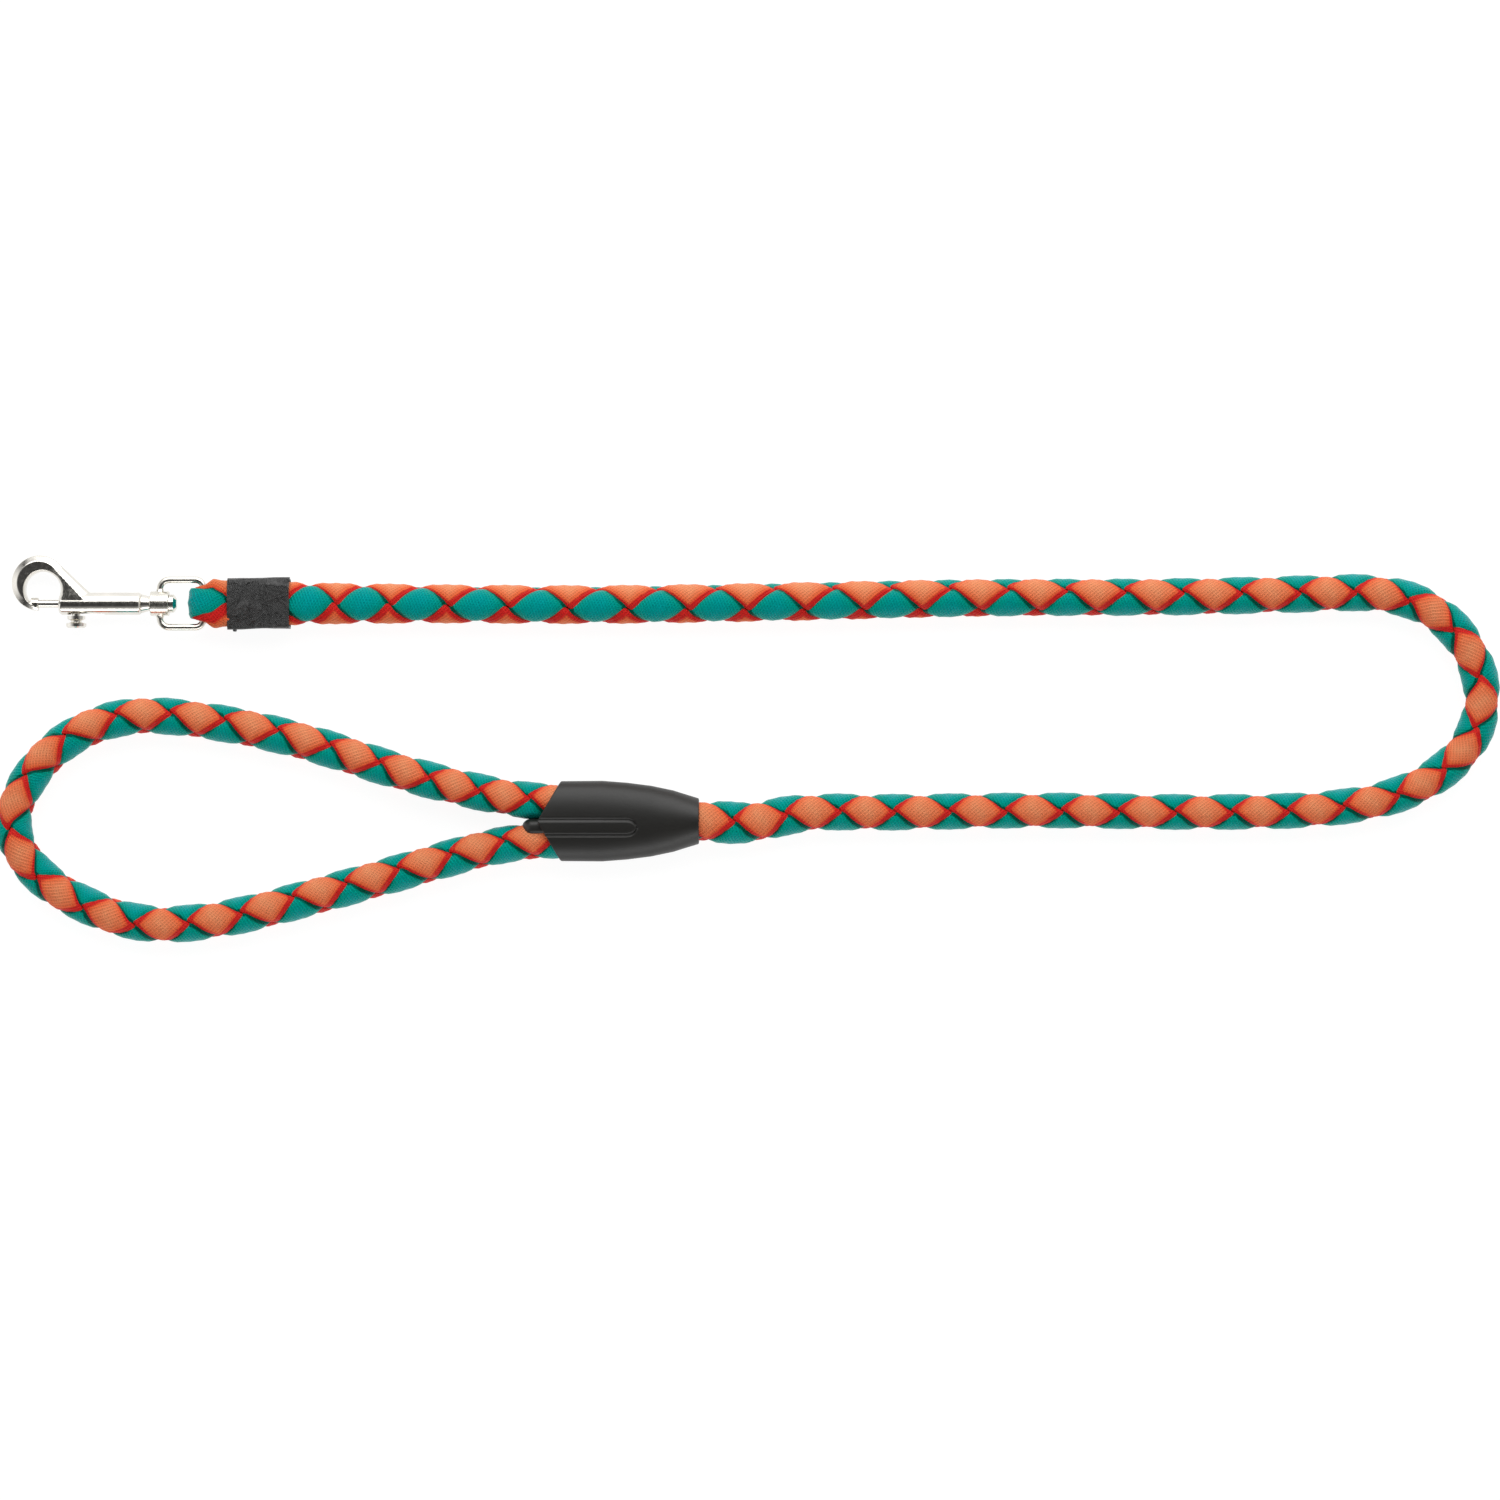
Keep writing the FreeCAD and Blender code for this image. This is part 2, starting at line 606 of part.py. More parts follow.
def make_join(stitching):
    """The sewn join: the rope's end laid beside its standing part."""
    blank = feature("join_blank", Part.makeLoft(join_sections(0.0), True, True))
    return cut("rope_join", blank, [stitching])


def make_sleeve():
    """Moulded sleeve: tapered outside, slanted mouths over the two legs, tongue and nub in the fork."""
    y, z = size("sleeve_y"), ROPE_LIFT
    radius = size("rope_diameter") / 2 + size("sleeve_wall")
    widest = size("leg_offset") + radius
    wide_end, narrow_end = size("mouth_tip"), size("sleeve_end")
    outlines = []
    for along, share in SLEEVE_TAPER:
        half_width = radius + share * (widest - radius)
        outlines.append(slot_wire(wide_end + along * (narrow_end - wide_end), y, z, half_width, radius))
    shell = Part.makeLoft(outlines, True, False)
    for side in (1, -1):
        trim = Part.makeBox(30, 60, 60, Vector(-30, -20 if side > 0 else -40, -30))
        trim.rotate(Vector(), Vector(0, 0, 1), -side * size("mouth_angle"))
        trim.translate(Vector(wide_end, y, z))
        shell = shell.cut(trim)
    half_tongue = size("tongue_width") / 2
    tongue_y = y + size("tongue_offset")
    nub_start = wide_end - size("nub_length") + half_tongue
    nub = Part.makeBox(wide_end + 8 - nub_start, 2 * half_tongue, 2 * radius - 2,
                       Vector(nub_start, tongue_y - half_tongue, 1))
    nose = Part.makeCylinder(half_tongue, 2 * radius - 2, Vector(nub_start, tongue_y, 1))
    tongue_end = size("tongue_end") - half_tongue
    tongue_top = 2 * radius + size("tongue_rise")
    tongue = Part.makeBox(
        tongue_end - wide_end - 3, 2 * half_tongue, tongue_top - z,
        Vector(wide_end + 3, tongue_y - half_tongue, z))
    tongue_nose = Part.makeCylinder(half_tongue, tongue_top - z, Vector(tongue_end, tongue_y, z))
    outside = shell.fuse([nub, nose, tongue, tongue_nose])
    gap = size("rope_clearance")
    rope_bore = Part.makeCylinder(
        size("rope_diameter") / 2 + gap, narrow_end - size("join_end") + 2,
        Vector(size("join_end") - 0.5, y, z), Vector(1, 0, 0))
    join_room = Part.makeLoft(join_sections(2 * gap), True, True)
    inside = outside.cut(rope_bore).cut(join_room)
    for legs in (hand_route()[:LEG_POINTS], hand_route()[-LEG_POINTS:]):
        inside = inside.cut(tube(route_wire("leg", legs), size("rope_diameter") + 2 * gap))
    return feature("sleeve", inside)


# ---------------------------------------------------------------- build


sheet = make_sheet()
ROPE_LIFT = size("rope_diameter") / 2 + size("sleeve_wall")

snap_parts = [
    make_hook_body(), make_plunger(), make_thumb_stud(), make_swivel_rivet(), make_plunger_spring(),
    make_swivel_loop(),
]

eye_stitching = make_eye_stitches("eye_stitching")
eye_parts = [make_rope_eye(), eye_stitching, make_label_band()]

lead_rope, lead_core = make_rope("lead_rope", "lead_core", lead_route())
hand_loop, hand_core = make_rope("hand_loop", "hand_loop_core", hand_route())
join_stitching = make_stitches(
    "join_stitching", "join_start + stitch_pitch / 2", 3, "2 * leg_offset + rope_diameter / 2",
    ("sleeve_y - leg_offset - rope_diameter / 4",), ALONG_Y, "rope_diameter / 2 + sleeve_wall")
rope_parts = [
    lead_rope, lead_core, hand_loop, hand_core, make_join(join_stitching), join_stitching,
    make_sleeve(),
]
doc.recompute()

# The eye's centre stands where the band just touches the floor; the barrel's front rests on it too.
eye_height = (size("bar_radius") + size("eye_gap") + size("fold_thickness")
              + size("band_clearance") + size("band_wall"))
drop = (eye_height - size("barrel_radius")) / -size("barrel_front")
tip_angle = math.degrees(math.asin(drop))
eye_centre = Vector(size("eye_x"), size("eye_y"), eye_height)
snap_place = FreeCAD.Placement(eye_centre, FreeCAD.Rotation(Vector(0, 1, 0), -tip_angle))
for part in snap_parts:
    part.Placement = snap_place.multiply(part.Placement)
for part in eye_parts:
    part.Placement = FreeCAD.Placement(eye_centre, NO_TURN)
doc.recompute()
print(f"eye height {eye_height:.3f} mm, snap tipped {tip_angle:.3f} degrees")

nodes = snap_parts + eye_parts + rope_parts
for thing in doc.Objects:
    if "Invalid" in thing.State or "Error" in thing.State:
        raise RuntimeError(f"{thing.Name} failed: {thing.State}")
os.makedirs("parts", exist_ok=True)
for part in nodes:
    part.Label = part.Name
    shape = part.Shape
    if shape.isNull() or not shape.isValid() or shape.Volume <= 0:
        raise RuntimeError(f"{part.Name} has no valid solid")
    shape.exportStep(f"parts/{part.Name}.step")
    bounds = shape.BoundBox
    print(f"{part.Name}: {len(shape.Solids)} solid(s), {shape.Volume:.1f} mm3, "
          f"x {bounds.XMin:.1f}..{bounds.XMax:.1f}, y {bounds.YMin:.1f}..{bounds.YMax:.1f}, "
          f"z {bounds.ZMin:.2f}..{bounds.ZMax:.2f}")
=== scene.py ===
"""Braided rope lead lying flat: a nickel bolt snap, a rope eye under a woven band, and a hand loop whose end
is sewn to the lead inside a moulded sleeve."""

import math

import bpy
import numpy as np
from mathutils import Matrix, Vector


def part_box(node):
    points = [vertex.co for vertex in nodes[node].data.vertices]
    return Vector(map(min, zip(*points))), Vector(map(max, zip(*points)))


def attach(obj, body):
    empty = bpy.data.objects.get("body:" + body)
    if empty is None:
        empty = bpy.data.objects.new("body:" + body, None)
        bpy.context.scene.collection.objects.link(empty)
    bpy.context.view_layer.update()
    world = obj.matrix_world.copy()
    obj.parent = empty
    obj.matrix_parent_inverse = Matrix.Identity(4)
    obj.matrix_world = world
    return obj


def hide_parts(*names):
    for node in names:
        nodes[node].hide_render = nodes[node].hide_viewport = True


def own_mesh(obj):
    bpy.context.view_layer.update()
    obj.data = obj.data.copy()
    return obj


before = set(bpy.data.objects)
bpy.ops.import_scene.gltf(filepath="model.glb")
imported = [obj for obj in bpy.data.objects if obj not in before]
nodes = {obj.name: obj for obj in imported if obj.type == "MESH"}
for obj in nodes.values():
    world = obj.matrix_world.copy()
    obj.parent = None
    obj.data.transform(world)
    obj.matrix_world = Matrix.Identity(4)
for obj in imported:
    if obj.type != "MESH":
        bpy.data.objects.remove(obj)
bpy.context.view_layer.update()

# ---------------------------------------------------------------- sizes, in metres

ROPE_RADIUS = 0.006
FILLER_RADIUS = 0.0026
WEAVE_RADIUS = 0.0050  # radius that the tapes' lean and width are taken at
WEAVE_MIDDLE = 0.00388  # radius at which a tape crosses its neighbours
WEAVE_RISE = 0.00062  # how far a tape rises over that radius and dips under it
TAPE_HALF_THICKNESS = 0.0015
RING_STEP = 0.0006  # distance between the rings of points along a tape
RIB_PITCH = 0.00095  # of the tapes' fine ribs
THREAD_PITCH = 0.0007  # of the band's weave
CAST_VOXEL = 0.00016  # cell that the cast pieces are remeshed at
SLEEVE_AXIS = (-0.0232, 0.0073)  # y and z

# ---------------------------------------------------------------- shares, counts and directions

TAPE_CORNERS = 20
ORANGE_LEAD = 0.05  # the orange tapes are packed a little fuller, so their leaves join at the necks
HIDDEN_EDGE = 0.12  # share of a tape's edge that its neighbours cover
LIT_SIDE = (0.0, 1.0, 0.0)  # the side of the ropes that faces the lamps, where the tapes' painted edge shade is drawn narrower
EDGE_SHADE_SHIFT = 0.16  # share by which the painted edge shade is narrower there and wider on the shaded side

# ---------------------------------------------------------------- the ropes' routes, as control points

LEAD_ROUTE = [
    (-0.1510, 0.0475, 0.0060), (-0.1050, 0.0475, 0.0060), (-0.0500, 0.0470, 0.0060),
    (0.0120, 0.0480, 0.0060), (0.0750, 0.0495, 0.0060), (0.1350, 0.0495, 0.0060),
    (0.1780, 0.0505, 0.0060), (0.2110, 0.0515, 0.0060), (0.2300, 0.0410, 0.0060),
    (0.2400, 0.0215, 0.0060), (0.2360, 0.0015, 0.0060), (0.2185, -0.0130, 0.0060),
    (0.1930, -0.0195, 0.0060), (0.1500, -0.0205, 0.0060), (0.0950, -0.0195, 0.0060),
    (0.0450, -0.0205, 0.0060), (0.0180, -0.0200, 0.0060), (0.0010, -0.0242, 0.0062),
    (-0.0130, -0.0232, 0.0073), (-0.0240, -0.0232, 0.0073),
]
HAND_ROUTE = [
    (-0.0520, -0.0172, 0.0073), (-0.0670, -0.0172, 0.0073), (-0.0850, -0.0145, 0.0060),
    (-0.1130, -0.0075, 0.0060), (-0.1440, 0.0030, 0.0060), (-0.1740, 0.0095, 0.0060),
    (-0.2010, 0.0120, 0.0060), (-0.2210, 0.0045, 0.0060), (-0.2340, -0.0085, 0.0060),
    (-0.2405, -0.0250, 0.0060), (-0.2325, -0.0400, 0.0060), (-0.2165, -0.0505, 0.0060),
    (-0.1960, -0.0575, 0.0060), (-0.1700, -0.0555, 0.0060), (-0.1380, -0.0470, 0.0060),
    (-0.1090, -0.0388, 0.0060), (-0.0840, -0.0315, 0.0060), (-0.0670, -0.0292, 0.0073),
    (-0.0520, -0.0292, 0.0073),
]

# ---------------------------------------------------------------- camera

VIEW_CENTRE = (0.00073, -0.0001)
VIEW_WIDTH = 0.4875
LENS = 150.0
camera_data = bpy.data.cameras.new("camera")
camera_data.lens = LENS
camera_data.sensor_width = 36.0
camera_data.clip_start = 0.1
camera_data.clip_end = 20.0
view_height = VIEW_WIDTH * LENS / camera_data.sensor_width + ROPE_RADIUS
camera = bpy.data.objects.new("camera", camera_data)
bpy.context.scene.collection.objects.link(camera)
camera.location = (*VIEW_CENTRE, view_height)
bpy.context.scene.camera = camera

# ---------------------------------------------------------------- meshes


def blunted(wave, power):
    """A sine or cosine made blunter, so that a section runs from a rectangle at 0 to an ellipse at 1."""
    return np.sign(wave) * np.abs(wave) ** power


def new_piece(name, points, faces, materials, body="rope"):
    """A smooth-shaded mesh object that rides on a body."""
    mesh = bpy.data.meshes.new(name)
    mesh.from_pydata([tuple(point) for point in points], [], [tuple(int(i) for i in face) for face in faces])
    mesh.shade_smooth()
    for material in materials:
        mesh.materials.append(material)
    piece = bpy.data.objects.new(name, mesh)
    bpy.context.scene.collection.objects.link(piece)
    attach(piece, body)
    return piece


def grid_faces(rings, around, start=0):
    """Quads of a tube of rings, closed round each ring, and one face over each end."""
    ring = np.arange(rings - 1)[:, None] * around
    here = np.arange(around)[None, :]
    beyond = (here + 1) % around
    quads = np.stack([ring + here, ring + beyond, ring + around + beyond, ring + around + here], axis=-1)
    faces = [tuple(quad) for quad in (quads.reshape(-1, 4) + start)]
    faces.append(tuple(range(start + around - 1, start - 1, -1)))
    last = start + (rings - 1) * around
    faces.append(tuple(range(last, last + around)))
    return faces


def spline_points(name, route):
    """Points along the smooth NURBS line that has the route's points as its control points."""
    curve = bpy.data.curves.new(name, "CURVE")
    curve.dimensions = "3D"
    spline = curve.splines.new("NURBS")
    spline.points.add(len(route) - 1)
    for point, place in zip(spline.points, route):
        point.co = (*place, 1.0)
    spline.order_u = 3
    spline.use_endpoint_u = True
    spline.resolution_u = 24
    thing = bpy.data.objects.new(name, curve)
    mesh = bpy.data.meshes.new_from_object(thing)
    points = np.array([vertex.co for vertex in mesh.vertices], float)
    bpy.data.meshes.remove(mesh)
    bpy.data.objects.remove(thing)
    bpy.data.curves.remove(curve)
    return points


class Line:
    """A centreline that gives its place, its outward and its sideways direction at any distance along it."""

    def __init__(self, points, side=None):
        steps = np.linalg.norm(np.diff(points, axis=0), axis=1)
        keep = np.concatenate([[True], steps > 1e-7])
        self.points = points[keep]
        self.at = np.concatenate([[0.0], np.cumsum(np.linalg.norm(np.diff(self.points, axis=0), axis=1))])
        self.length = float(self.at[-1])
        self.side = side

    def place(self, s):
        """The point at a distance along the line."""
        return np.stack([np.interp(s, self.at, self.points[:, k]) for k in range(3)], axis=-1)

    def frame(self, s):
        """The outward and the sideways direction at a distance along the line."""
        reach = 0.0008
        ahead = self.place(np.minimum(s + reach, self.length)) - self.place(np.maximum(s - reach, 0.0))
        ahead = ahead / np.linalg.norm(ahead, axis=-1, keepdims=True)
        if self.side is not None:
            side = np.broadcast_to(np.array(self.side), ahead.shape)
            return np.cross(ahead, side), side
        up = np.array([0.0, 0.0, 1.0]) - ahead * ahead[..., 2:3]
        up = up / np.linalg.norm(up, axis=-1, keepdims=True)
        return up, np.cross(up, ahead)


def flat_top(value):
    """A wave between -1 and 1 with its tops flattened."""
    sharpness = 3.6
    return np.tanh(sharpness * value) / math.tanh(sharpness)


def braid(name, line, materials, tall, wide, turn, count):
    """Four flat tapes, two turning each way, each passing over and under those that cross it.

    tall and wide give the section's half height and half width along the line, turn the angle by which the
    pattern is rolled, and count the number of half turns that a tape has made there. The tape attribute says
    how far sideways, how far along and how far from its edge each point of a tape lies, the last shifted by
    how much the point faces the lit side, so that the painted edge shade comes out narrower there."""
    bluntness, thinning, teal_share = 0.62, 0.16, 0.96
    lean = math.atan(WEAVE_RADIUS * math.pi * (count(line.length) - count(0.0)) / line.length)
    closing = WEAVE_RADIUS * math.pi / 2 * math.cos(lean)  # half width at which neighbours just meet
    around = np.linspace(0, 2 * math.pi, TAPE_CORNERS, endpoint=False)
    across = blunted(np.cos(around), bluntness)
    depth = blunted(np.sin(around), bluntness)
    middles = np.arange(-closing, line.length + closing, RING_STEP)
    points, faces, slots, marks = [], [], [], []
    # Hand is 1 for the two orange tapes, which turn one way, and -1 for the two teal ones.
    for hand, phase in ((1, 0.0), (1, math.pi), (-1, 0.0), (-1, math.pi)):
        middle = middles[:, None] + 0 * across[None, :]
        sideways = across[None, :] * closing * (1.0 if hand > 0 else teal_share)
        s = middle + hand * sideways * math.sin(lean)
        angle = phase - hand * math.pi * count(middle) + sideways * math.cos(lean) / WEAVE_RADIUS
        one_way = np.cos(angle + math.pi * count(s))
        other_way = np.cos(angle - math.pi * count(s))
        over = one_way * other_way + ORANGE_LEAD
        radius = WEAVE_MIDDLE + hand * WEAVE_RISE * flat_top(over)
        own, crossing = (one_way, other_way) if hand > 0 else (other_way, one_way)
        from_edge = np.sign(over) * hand * np.minimum(np.abs(own) - HIDDEN_EDGE, np.abs(crossing))
        crown = 1 - thinning * np.abs(across[None, :]) ** 3
        radius = radius + depth[None, :] * TAPE_HALF_THICKNESS * crown
        s = np.clip(s, 0.0, line.length)
        rolled = angle + turn(s)
        up, side = line.frame(s)
        ring = line.place(s)
        ring = ring + up * (radius * np.cos(rolled) * tall(s) / ROPE_RADIUS)[..., None]
        ring = ring + side * (radius * np.sin(rolled) * wide(s) / ROPE_RADIUS)[..., None]
        # Painted shade: the tapes' dark edges are made narrower where a tape faces the lit side and wider
        # where it faces away.
        facing_light = (up * np.cos(rolled)[..., None] + side * np.sin(rolled)[..., None]) @ LIT_SIDE
        from_edge = from_edge + EDGE_SHADE_SHIFT * np.clip(facing_light, -0.7, 0.9)
        start = sum(len(block) for block in points)
        points.append(ring.reshape(-1, 3))
        made = grid_faces(len(middles), TAPE_CORNERS, start)
        faces += made
        slots += [0 if hand > 0 else 1] * len(made)
        mark = np.stack([sideways + 0 * s, middle / math.cos(lean), from_edge], axis=-1)
        marks.append(mark.reshape(-1, 3))
    piece = new_piece(name, np.concatenate(points), faces, materials)
    piece.data.polygons.foreach_set("material_index", slots)
    tape = piece.data.attributes.new("tape", "FLOAT_VECTOR", "POINT")
    tape.data.foreach_set("vector", np.concatenate(marks).astype(np.float32).ravel())
    return piece


def yarn(name, line, radius, material, tall, wide):
    """The filler inside a braid: a bundle with soft lobes that twist along it."""
    corners, step = 24, 0.0016
    lobes, lobe_rise, twist = 8, 0.06, 400
    s = np.arange(0.0, line.length, step)
    around = np.linspace(0, 2 * math.pi, corners, endpoint=False)
    lobed = radius * (1 + lobe_rise * np.cos(lobes * around[None, :] + s[:, None] * twist))
    up, side = line.frame(s)
    ring = line.place(s)[:, None, :]
    ring = ring + up[:, None, :] * (lobed * np.cos(around) * tall(s)[:, None] / ROPE_RADIUS)[..., None]
    ring = ring + side[:, None, :] * (lobed * np.sin(around) * wide(s)[:, None] / ROPE_RADIUS)[..., None]
    return new_piece(name, ring.reshape(-1, 3), grid_faces(len(s), corners), [material])


def recast(name, node, rounds, material, body):
    """A cast piece with its sharp edges worn round: the CAD node's surface remeshed and eased."""
    piece = bpy.data.objects.new(name, nodes[node].data.copy())
    bpy.context.scene.collection.objects.link(piece)
    remesh = piece.modifiers.new("remesh", "REMESH")
    remesh.mode = "VOXEL"
    remesh.voxel_size = CAST_VOXEL
    ease = piece.modifiers.new("ease", "SMOOTH")
    ease.factor = 0.5
    ease.iterations = rounds
    bpy.context.view_layer.update()
    mesh = bpy.data.meshes.new_from_object(piece.evaluated_get(bpy.context.evaluated_depsgraph_get()))
    piece.modifiers.clear()
    piece.data = mesh
    mesh.shade_smooth()
    mesh.materials.clear()
    mesh.materials.append(material)
    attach(piece, body)
    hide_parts(node)


# ---------------------------------------------------------------- materials


def new_material(name):
    """A material, its node tree and its shader."""
    material = bpy.data.materials.new(name)
    material.use_nodes = True
    tree = material.node_tree
    return material, tree, tree.nodes["Principled BSDF"]


def node(tree, kind, **settings):
    """A node whose inputs or settings take the values given by name."""
    made = tree.nodes.new(kind)
    for key, value in settings.items():
        if key in made.inputs:
            made.inputs[key].default_value = value
        else:
            setattr(made, key, value)
    return made


def ramp(tree, source, stops):
    """A colour that runs between (place, colour) stops."""
    made = tree.nodes.new("ShaderNodeValToRGB")
    elements = made.color_ramp.elements
    while len(elements) < len(stops):
        elements.new(0.5)
    for element, (place, colour) in zip(elements, stops):
        element.position = place
        element.color = (*colour, 1.0)
    tree.links.new(source, made.inputs["Fac"])
    return made.outputs["Color"]


def maths(tree, operation, first, second=None):
    """The result of a Math node whose inputs are numbers or other nodes' outputs."""
    made = tree.nodes.new("ShaderNodeMath")
    made.operation = operation
    for socket, value in zip(made.inputs, (first, second)):
        if value is None:
            continue
        if isinstance(value, (int, float)):
            socket.default_value = value
        else:
            tree.links.new(value, socket)
    return made.outputs[0]


def mixed(tree, blend, factor, first, second):
    """The colour that a Mix node makes of numbers, colours or other nodes' outputs."""
    made = tree.nodes.new("ShaderNodeMix")
    made.data_type = "RGBA"
    made.blend_type = blend
    for name, value in (("Factor", factor), ("A", first), ("B", second)):
        socket = next(s for s in made.inputs if s.name == name and (name == "Factor" or s.type == "RGBA")
                      and s.enabled)
        if isinstance(value, tuple):
            socket.default_value = (*value, 1.0)
        elif isinstance(value, (int, float)):
            socket.default_value = value
        else:
            tree.links.new(value, socket)
    return next(s for s in made.outputs if s.type == "RGBA" and s.enabled)


def bumped(tree, shader, height, distance, strength=1.0):
    """Relief on a shader: distance is how far, in metres, one unit of height stands up."""
    bump = tree.nodes.new("ShaderNodeBump")
    bump.inputs["Distance"].default_value = distance
    bump.inputs["Strength"].default_value = strength
    tree.links.new(height, bump.inputs["Height"])
    tree.links.new(bump.outputs["Normal"], shader.inputs["Normal"])


def tape_material(name, edge, shade_end, body, crown, glint, gloss, shine):
    """Plaited flat tape: slanted ribs, weaker lines along it, painted shade at edges and rib grooves, painted
    highlight on its crown.
    """
    material, tree, shader = new_material(name)
    tape = node(tree, "ShaderNodeAttribute", attribute_name="tape")
    parts = node(tree, "ShaderNodeSeparateXYZ")
    tree.links.new(tape.outputs["Vector"], parts.inputs[0])
    across, along, from_edge = parts.outputs
    rib, slant, line_density, line_strength, shade_blur = 2 * math.pi / RIB_PITCH, -0.25, 1.3, 0.45, 0.16
    slanted = maths(tree, "ADD", along, maths(tree, "MULTIPLY", across, slant))
    ribs = maths(tree, "SINE", maths(tree, "MULTIPLY", slanted, rib))
    lines = maths(tree, "SINE", maths(tree, "MULTIPLY", across, rib * line_density))
    hatch = maths(tree, "MAXIMUM", ribs, maths(tree, "MULTIPLY", lines, line_strength))
    # Painted shade and highlight: edge is a dark shade colour at the tape's edges, crown a paler highlight
    # along its middle; body is the tape's own colour.
    colour = ramp(tree, from_edge, [(shade_end - shade_blur, edge), (shade_end, body), (0.9, crown)])
    # Painted shade and highlight: the ribs' grooves are darkened and their ridges lightened.
    shade = ramp(tree, maths(tree, "MULTIPLY_ADD", hatch, 0.5), [(0.0, (0.66,) * 3), (1.0, (1.1,) * 3)])
    colour = mixed(tree, "MULTIPLY", 1.0, colour, shade)
    tree.links.new(colour, shader.inputs["Base Color"])
    shader.inputs["Roughness"].default_value = gloss
    shader.inputs["Specular IOR Level"].default_value = shine
    shader.inputs["Specular Tint"].default_value = (*glint, 1.0)
    bumped(tree, shader, hatch, 0.00014, 0.9)
    return material


def nickel_material(name, colour, rough):
    """Bright plating with faint ripples and rubbed patches."""
    material, tree, shader = new_material(name)
    place = node(tree, "ShaderNodeTexCoord")
    broad = node(tree, "ShaderNodeTexNoise", Scale=160.0, Detail=3.0)
    fine = node(tree, "ShaderNodeTexNoise", Scale=900.0, Detail=2.0)
    for texture in (broad, fine):
        tree.links.new(place.outputs["Object"], texture.inputs["Vector"])
    shader.inputs["Metallic"].default_value = 1.0
    tint = ramp(tree, broad.outputs["Fac"], [(0.3, tuple(0.86 * c for c in colour)), (0.7, colour)])
    tree.links.new(tint, shader.inputs["Base Color"])
    worn = ramp(tree, fine.outputs["Fac"], [(0.3, (rough * 0.7,) * 3), (0.75, (rough * 1.6,) * 3)])
    tree.links.new(worn, shader.inputs["Roughness"])
    bumped(tree, shader, broad.outputs["Fac"], 0.00006, 0.5)
    return material


def yarn_material(name, colour):
    """Matt spun fibres."""
    material, tree, shader = new_material(name)
    place = node(tree, "ShaderNodeTexCoord")
    fibres = node(tree, "ShaderNodeTexNoise", Scale=1800.0, Detail=4.0)
    tree.links.new(place.outputs["Object"], fibres.inputs["Vector"])
    tint = ramp(tree, fibres.outputs["Fac"], [(0.3, tuple(0.5 * c for c in colour)), (0.7, colour)])
    tree.links.new(tint, shader.inputs["Base Color"])
    shader.inputs["Roughness"].default_value = 0.9
    bumped(tree, shader, fibres.outputs["Fac"], 0.0001)
    return material


def band_material():
    """Black woven tape: a square weave with small crinkles, painted paler on their raised tops as a highlight
    and darker in their dips as shade.
    """
    material, tree, shader = new_material("black_woven_tape")
    place = node(tree, "ShaderNodeTexCoord")
    parts = node(tree, "ShaderNodeSeparateXYZ")
    fluff = node(tree, "ShaderNodeTexNoise", Scale=500.0, Detail=5.0)
    crinkle = node(tree, "ShaderNodeTexNoise", Scale=300.0, Detail=2.0, Distortion=1.2)
    for socket in (parts.inputs[0], fluff.inputs["Vector"], crinkle.inputs["Vector"]):
        tree.links.new(place.outputs["Object"], socket)
    thread = 2 * math.pi / THREAD_PITCH
    round_band = maths(tree, "ADD", parts.outputs["Y"], parts.outputs["Z"])
    weft = maths(tree, "SINE", maths(tree, "MULTIPLY", parts.outputs["X"], thread))
    warp = maths(tree, "SINE", maths(tree, "MULTIPLY", round_band, thread))
    weave = maths(tree, "MULTIPLY", maths(tree, "MULTIPLY", weft, warp), 0.12)
    fibres = maths(tree, "MULTIPLY", fluff.outputs["Fac"], 0.5)
    folds = maths(tree, "MULTIPLY", crinkle.outputs["Fac"], 2.4)
    height = maths(tree, "ADD", maths(tree, "ADD", weave, fibres), folds)
    # Painted highlight and shade: the crinkles' raised tops are paler, their dips darker.
    tint = ramp(tree, crinkle.outputs["Fac"], [(0.35, (0.0015, 0.0014, 0.0012)), (0.55, (0.008,) * 3),
                                               (0.72, (0.035,) * 3)])
    tree.links.new(tint, shader.inputs["Base Color"])
    shader.inputs["Roughness"].default_value = 0.34
    shader.inputs["Specular IOR Level"].default_value = 0.6
    bumped(tree, shader, height, 0.0009)
    return material


def sleeve_material():
    """Satin black plastic with a faint spark-eroded grain."""
    material, tree, shader = new_material("satin_black_plastic")
    place = node(tree, "ShaderNodeTexCoord")
    grain = node(tree, "ShaderNodeTexNoise", Scale=2200.0, Detail=3.0)
    cloud = node(tree, "ShaderNodeTexNoise", Scale=60.0, Detail=2.0)
    for texture in (grain, cloud):
        tree.links.new(place.outputs["Object"], texture.inputs["Vector"])
    tint = ramp(tree, cloud.outputs["Fac"], [(0.3, (0.0075, 0.0072, 0.006)), (0.7, (0.0115, 0.0108, 0.0092))])
    tree.links.new(tint, shader.inputs["Base Color"])
    rough = ramp(tree, grain.outputs["Fac"], [(0.3, (0.40,) * 3), (0.7, (0.50,) * 3)])
    tree.links.new(rough, shader.inputs["Roughness"])
    bumped(tree, shader, grain.outputs["Fac"], 0.00003, 0.5)
    return material


